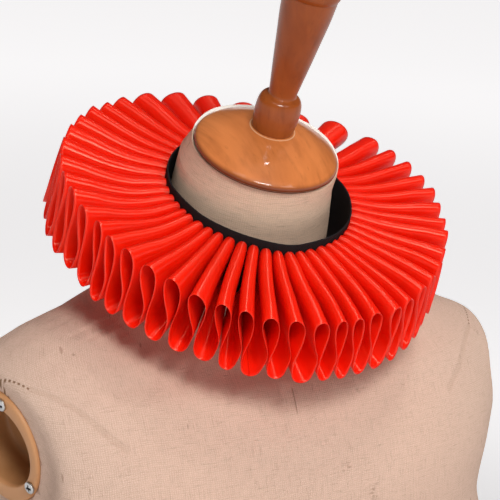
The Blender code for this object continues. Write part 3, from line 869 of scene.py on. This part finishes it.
def cutPocket(piece, side):
    # an oval hole in a shoulder, clear of its socket all round
    high, wide = socket["radius"] + clearance, socket["across"] + clearance
    outside, deep = 0.06, -socket["depth"] - clearance
    outline = [(outside, 0.0, 0.0), (outside, high, wide), (deep, high, wide), (deep, 0.0, 0.0)]
    cutter = turnedSurface("pocket", outline, socket["sides"], onSocket(side))
    cut = piece.modifiers.new("pocket", "BOOLEAN")
    cut.object, cut.operation, cut.solver = cutter, "DIFFERENCE", "EXACT"
    bpy.context.view_layer.objects.active = piece
    bpy.ops.object.modifier_apply(modifier=cut.name)
    bpy.data.objects.remove(cutter, do_unlink=True)


def makeTorso(material):
    # the weave is measured along the cloth from the middle of the front, at half height and at the neck
    grid = torsoGrid()
    up = runLength(grid, axis=0)
    around = runLength(grid, axis=1)
    waist, middle = grid.shape[0] // 2, grid.shape[1] // 2
    neck = int(np.argmax(grid[:, middle, 2] > torso["weaveFrom"]))
    start = np.where(np.arange(len(grid)) < neck, waist, neck)
    uv = np.stack([around - around[:, middle:middle + 1], up - up[start]], axis=-1)
    piece = surface("torsoLinen", grid[::-1], uv[::-1], closed=True)
    cutPocket(piece, -1)
    cutPocket(piece, 1)
    finish(piece, material, "form_torso")
    print("torso", len(piece.data.polygons), "faces")


# rim and ring are the share and colour of what is laid over the wood; the ring is a painted highlight
capWood = dict(
    dark=(0.47, 0.132, 0.030), light=(0.68, 0.215, 0.060),
    turn=(0.0, 0.0, 0.65), stretch=(1.0, 0.07, 0.5), gloss=0.55,
    rim=(0.92, (0.15, 0.030, 0.006)), rimFades=(-0.0008, 0.0030),
    # painted highlight round the knob's seat
    ring=(0.65, (0.80, 0.52, 0.32)), ringRadius=0.0176,
)

knobWood = dict(
    dark=(0.210, 0.042, 0.007), light=(0.350, 0.082, 0.014),
    turn=(-0.35, 0.0, 0.0), stretch=(1.0, 1.0, 0.10), gloss=0.28,
)


def varnishedWood(name, look):
    # turned beech under varnish: long faint grain, small flecks, and a glossy coat
    material, tree, shader = newMaterial(name, Roughness=0.45, Specular_IOR_Level=0.15,
                                         Coat_Weight=look["gloss"], Coat_Roughness=0.06, Coat_IOR=1.5)
    where = coordinates(tree)
    settings = {"Vector": where, "Rotation": look["turn"], "Scale": look["stretch"]}
    grain = node(tree, "ShaderNodeMapping", {}, settings)
    figure = noise(grain, 26.0, 4.0, 0.6)
    fibres = noise(grain, 150.0, 3.0, 0.6)
    flecks = between(noise(grain, 330.0, 2.0, 0.6), 0.62, 0.78)
    blotch = noise(where, 22.0)
    wood = blend(between(figure, 0.3, 0.7), look["dark"], look["light"])
    wood = blend(between(fibres, 0.45, 0.72) * 0.28, wood, np.multiply(look["dark"], (0.55, 0.50, 0.45)))
    wood = blend(flecks * 0.30, wood, np.multiply(look["dark"], (0.45, 0.40, 0.40)))
    wood = blend(between(blotch, 0.35, 0.75) * 0.25, wood, look["light"])
    feed(shader, "Base Color", wood)
    feed(shader, "Roughness", 0.30 + fibres * 0.12)
    relief(shader, fibres + flecks * 0.5, 0.1 * mm, 0.25)
    return material, shader, wood, where


def varnishedCap():
    # darker round the rim's lower side, and a painted highlight as a pale ring round the knob's seat
    material, shader, wood, where = varnishedWood("capWood", capWood)
    rim = 1 - between(alongAxis(where, *capAxis()), *capWood["rimFades"])
    fromRing = absolute(fromAxis(where, *capAxis()) - capWood["ringRadius"])
    ring = 1 - between(fromRing, 0.2 * mm, 0.6 * mm)
    feed(shader, "Base Color", layered(wood, capWood, rim=rim, ring=ring))
    return material


# turned outlines in millimetres from the plane of the cap's widest line, from the top middle down
capRows = (
    # height, radius
    (19.4, 0.0),
    (18.6, 14.0),
    (17.6, 18.5),
    (16.4, 24.2),
    (14.1, 31.6),
    (10.8, 39.4),
    (7.4, 46.2),
    (5.6, 49.6),
    (4.0, 52.4),
    (2.6, 54.4),
    (1.1, 56.2),
    (-0.5, 57.0),
    (-2.1, 56.9),
    (-3.6, 55.8),
    (-4.6, 54.4),
    (-5.0, 52.8),
    (-5.0, 30.0),
    (-5.0, 0.0),
)

knobRows = (
    # height, radius
    (149.4, 0.0),
    (149.3, 8.0),
    (148.8, 14.0),
    (147.4, 18.2),
    (145.2, 20.6),
    (142.6, 21.8),
    (139.8, 22.3),
    (136.6, 22.2),
    (134.2, 21.5),
    (132.8, 20.9),
    (131.6, 20.6),
    (116.0, 19.3),
    (98.0, 17.0),
    (79.0, 14.6),
    (59.0, 11.9),
    (52.0, 11.0),
    (49.6, 10.8),
    (48.4, 11.0),
    (47.7, 11.8),
    (47.2, 13.0),
    (46.4, 14.2),
    (44.9, 15.5),
    (42.0, 16.7),
    (38.0, 17.3),
    (33.0, 17.5),
    (27.0, 17.3),
    (22.5, 16.7),
    (20.4, 16.5),
    (19.3, 16.3),
    (18.6, 16.0),
    (18.4, 14.5),
    (18.4, 0.0),
)


def makeWood():
    # the smoothed outlines turned about the cap's axis
    knobMaterial = varnishedWood("knobWood", knobWood)[0]
    turned = (
        # name, node, outline, points along it, sides, material
        ("neckCapWood", "neck_cap", capRows, cap["steps"], cap["sides"], varnishedCap()),
        ("neckKnobWood", "neck_knob", knobRows, cap["knobSteps"], cap["knobSides"], knobMaterial),
    )
    for name, nodeName, rows, steps, sides, material in turned:
        outline = smoothRows(rows, steps) * mm
        outline[:, 1] = outline[:, 1].clip(0)
        finish(turnedSurface(name, outline, sides, onCap), material, nodeName)
    print("cap and knob turned")


socketRows = (
    # height above the face in millimetres, radius, radius across
    (-34.0, 0.0, 0.0),
    (-34.0, 18.0, 18.0),
    (-33.6, 30.7, 30.7),
    (-32.2, 32.6, 32.6),
    (-29.0, 33.1, 33.1),
    (-2.2, 33.2, 33.2),
    (-1.0, 33.4, 33.4),
    (-0.3, 33.9, 33.9),
    (0.0, 34.6, 34.6),
    (0.0, 45.0, 40.2),
    (-0.3, 45.9, 41.1),
    (-1.0, 46.5, 41.7),
    (-2.2, 46.8, 42.0),
    (-36.5, 46.8, 42.0),
    (-37.6, 46.3, 41.5),
    (-38.0, 45.3, 40.5),
    (-38.0, 0.0, 0.0),
)

plastic = dict(
    tan=((0.52, 0.245, 0.105), (0.62, 0.315, 0.142)),
    brown=((0.34, 0.150, 0.055), (0.52, 0.270, 0.115)),
    speckle=(0.15, (0.25, 0.13, 0.07)),
)

zinc = dict(
    dull=(0.46, 0.47, 0.48), bright=(0.72, 0.72, 0.70),
    # painted shade in the cross's recess
    cross=(0.94, (0.02, 0.02, 0.02)),
)

# the cross is given in shares of the head's radius
screw = dict(
    radius=0.0048, height=0.0022, rings=26, sides=72,
    edge=0.45, domePower=2.4, domeReach=0.98,  # the edge's share of the height, and the dome's curve
    crossWidth=(0.12, 0.20), crossLength=(0.50, 0.66), crossDepth=0.75,
    # where the painted shade lies in the cross
    dirtWidth=(0.14, 0.20), dirtLength=(0.50, 0.62),
    spin=2.7,
)


def tanPlastic():
    # smooth tan plastic with faint moulding swirls, duller and browner down in the well
    material, tree, shader = newMaterial("tanPlastic", Roughness=0.42, Specular_IOR_Level=0.3)
    where = coordinates(tree)
    swirl = noise(where, 34.0, 4.0, 0.6)
    speckle = noise(where, 420.0, 2.0, 0.6)
    wells = []
    for side in (-1, 1):
        centre, _, _, out, _ = socketFrame(side)
        depth = alongAxis(where, centre, out)
        wells.append((1 - between(depth, -0.006, -0.001)) * (1 - between(absolute(depth), 0.05, 0.08)))
    tan = blend(largest(wells), blend(swirl, *plastic["tan"]), blend(swirl, *plastic["brown"]))
    feed(shader, "Base Color", layered(tan, plastic, speckle=between(speckle, 0.6, 0.8)))
    feed(shader, "Roughness", 0.36 + swirl * 0.16)
    relief(shader, speckle * 0.4 + swirl, 0.2 * mm, 0.2)
    return material


def crossBars(step, x, y, width, length):
    # the two bars of a cross, each fading out past its half width and half length
    return [(1 - step(a, *width)) * (1 - step(b, *length)) for a, b in ((x, y), (y, x))]


def zincSteel():
    # bright zinc plate, worn unevenly, with painted shade dark in its cross
    material, tree, shader = newMaterial("zincSteel", Metallic=1.0, Roughness=0.3)
    worn = noise(coordinates(tree), 700.0, 3.0, 0.6)
    x, y = (absolute(value) for value in splitUp(coordinates(tree, "UV"))[:2])
    # painted shade in the cross
    cross = larger(*crossBars(between, x, y, screw["dirtWidth"], screw["dirtLength"]))
    feed(shader, "Base Color", layered(blend(worn, zinc["dull"], zinc["bright"]), zinc, cross=cross))
    feed(shader, "Roughness", 0.24 + worn * 0.22)
    return material


def screwHead(name, place):
    # a domed head as a height over rings: dome minus two crossing troughs, then a short side down
    ring = np.linspace(0, 1, screw["rings"])[:, None]
    turn = np.linspace(0, fullTurn, screw["sides"] + 1)[None, :]
    flat = 0 * turn
    x, y = np.abs(ring * np.cos(turn)), np.abs(ring * np.sin(turn))
    dome = np.sqrt(np.clip(1 - (ring * screw["domeReach"]) ** screw["domePower"], 0, 1))
    cross = np.maximum(*crossBars(smoothStep, x, y, screw["crossWidth"], screw["crossLength"]))
    top = screw["edge"] + (1 - screw["edge"]) * dome - screw["crossDepth"] * cross
    high = screw["height"] * np.concatenate([top, flat + screw["edge"], flat, flat])
    wide = screw["radius"] * np.concatenate([ring + flat, flat + 1, flat + 1, flat])
    local = np.stack([wide * np.cos(turn), wide * np.sin(turn), high], axis=-1)
    return surface(name, place(local), local[..., :2] / screw["radius"], closed=True)


def onScrew(side, angle, spin):
    # a screw's own frame: turned by its spin, at its angle round the socket, clear of the face
    cos, sin = math.cos(spin), math.sin(spin)
    turned = np.array([[cos, sin, 0], [-sin, cos, 0], [0, 0, 1]])
    out = socket["screwCircle"]
    centre = np.array([-side * math.sin(angle) * out, math.cos(angle) * out, clearance])
    return lambda points: onSocket(side)(points @ turned + centre)


def makeSockets():
    # a turned oval plate with its well on each shoulder, and its three screws
    tan, steel = tanPlastic(), zincSteel()
    outline = np.array(socketRows) * mm
    for side, word in ((-1, "right"), (1, "left")):
        cup = turnedSurface("armSocket" + word.title(), outline, socket["sides"], onSocket(side))
        finish(cup, tan, "arm_socket_" + word)
        for number, degrees in enumerate(socket["screwAngles"], start=1):
            angle = math.radians(degrees)
            place = onScrew(side, angle, angle * screw["spin"] + number)
            head = screwHead(f"screw{word.title()}{number}", place)
            finish(head, steel, f"socket_screw_{word}_{number}")
    print("sockets and screws placed")


# the floor's own glow keeps it pale far off, where the lamps don't reach
room = dict(
    floorHalf=40.0, floorHeight=-0.0005, floor=(0.90, 0.885, 0.89), glow=(1.0, 0.985, 0.99),
    near=(0.4, 1.5), nearGlow=0.52, far=(1.5, 4.5), farGlow=0.27,
    horizon=(0.88, 0.875, 0.88), overhead=(0.12, 0.117, 0.115), black=(0.0, 0.0, 0.0),
)

studioLights = (
    # name, place, aim, size, watts
    ("frontSoftbox", (-0.55, -2.13, 2.72), (0.0, -0.03, 0.68), (0.9, 0.7), 60.0),
    ("leftSoftbox", (-1.30, -1.10, 3.15), (0.0, -0.03, 0.68), (0.7, 0.7), 3.0),
    ("rightSoftbox", (0.80, -2.20, 2.50), (0.0, -0.03, 0.68), (0.7, 0.7), 6.0),
    ("upperStrip", (0.66, 0.00, 2.90), (0.0, -0.03, 0.70), (0.20, 0.25), 6.0),
    ("lowerStrip", (0.23, -0.47, 2.94), (0.0, -0.03, 0.70), (0.16, 0.45), 11.0),
)


def makeFloor():
    # a pale floor that glows more with its distance from the form
    ends = (-room["floorHalf"], room["floorHalf"])
    corners = [[(x, y, room["floorHeight"]) for x in ends] for y in ends]
    floor = surface("floor", np.array(corners))
    material, tree, shader = newMaterial("paleFloor", Roughness=0.95, Specular_IOR_Level=0.0,
                                         Base_Color=room["floor"], Emission_Strength=1.0)
    away = fromAxis(coordinates(tree), (0, 0, 0), (0, 0, 1))
    glow = between(away, *room["near"]) * room["nearGlow"] + between(away, *room["far"]) * room["farGlow"]
    feed(shader, "Emission Color", blend(glow, room["black"], room["glow"]))
    floor.data.materials.append(material)


def makeSky():
    # a dim grey dome over a bright horizon
    world = bpy.data.worlds.new("studio")
    world.use_nodes = True
    tree = world.node_tree
    height = splitUp(coordinates(tree, "Generated"))[2]
    sky = blend(between(height, 0.0, 0.9), room["black"], room["overhead"])
    sky = blend(1 - between(height, 0.06, 0.18), sky, room["horizon"])
    feed(tree.nodes["Background"], "Color", sky)
    bpy.context.scene.world = world


def makeLights():
    # soft rectangles of light, each turned to look at its aim
    for name, where, aim, size, power in studioLights:
        lamp = bpy.data.lights.new(name, "AREA")
        lamp.shape, lamp.size, lamp.size_y, lamp.energy = "RECTANGLE", *size, power
        light = bpy.data.objects.new(name, lamp)
        light.location = where
        light.rotation_mode = "QUATERNION"
        light.rotation_quaternion = (Vector(aim) - Vector(where)).to_track_quat("-Z", "Y")
        bpy.context.scene.collection.objects.link(light)
    bpy.context.scene.view_settings.view_transform = "Standard"
    print("room lit")


# places are from the ruff's centre, in metres; right tells how the camera is rolled
camera = dict(
    place=(-0.56299, -0.90098, 0.28467), aim=(-0.00963, -0.00829, -0.04529),
    right=(0.8555, -0.5134, 0.0674), lens=100.8, sensor=36.0, clipStart=0.02,
)


def makeCamera():
    # three axes: back along the view, right made square to it, and up square to both
    ring = np.array(ruffle["centre"])
    place, aim = ring + camera["place"], ring + camera["aim"]
    back = (place - aim) / np.linalg.norm(place - aim)
    right = np.array(camera["right"]) - back * np.dot(camera["right"], back)
    right /= np.linalg.norm(right)
    up = np.cross(back, right)
    lens = bpy.data.cameras.new("camera")
    lens.lens, lens.sensor_width, lens.clip_start = camera["lens"], camera["sensor"], camera["clipStart"]
    made = bpy.data.objects.new("camera", lens)
    bpy.context.scene.collection.objects.link(made)
    axes = np.column_stack([right, up, back, place])
    made.matrix_world = Matrix(np.vstack([axes, [0, 0, 0, 1]]).tolist())
    bpy.context.scene.camera = made


makeCamera()
makeFloor()
makeSky()
makeLights()
makeTorso(linenCloth())
makeNeckband(twillCloth())
makeWood()
makeSockets()
makeRuffle(satinCloth())
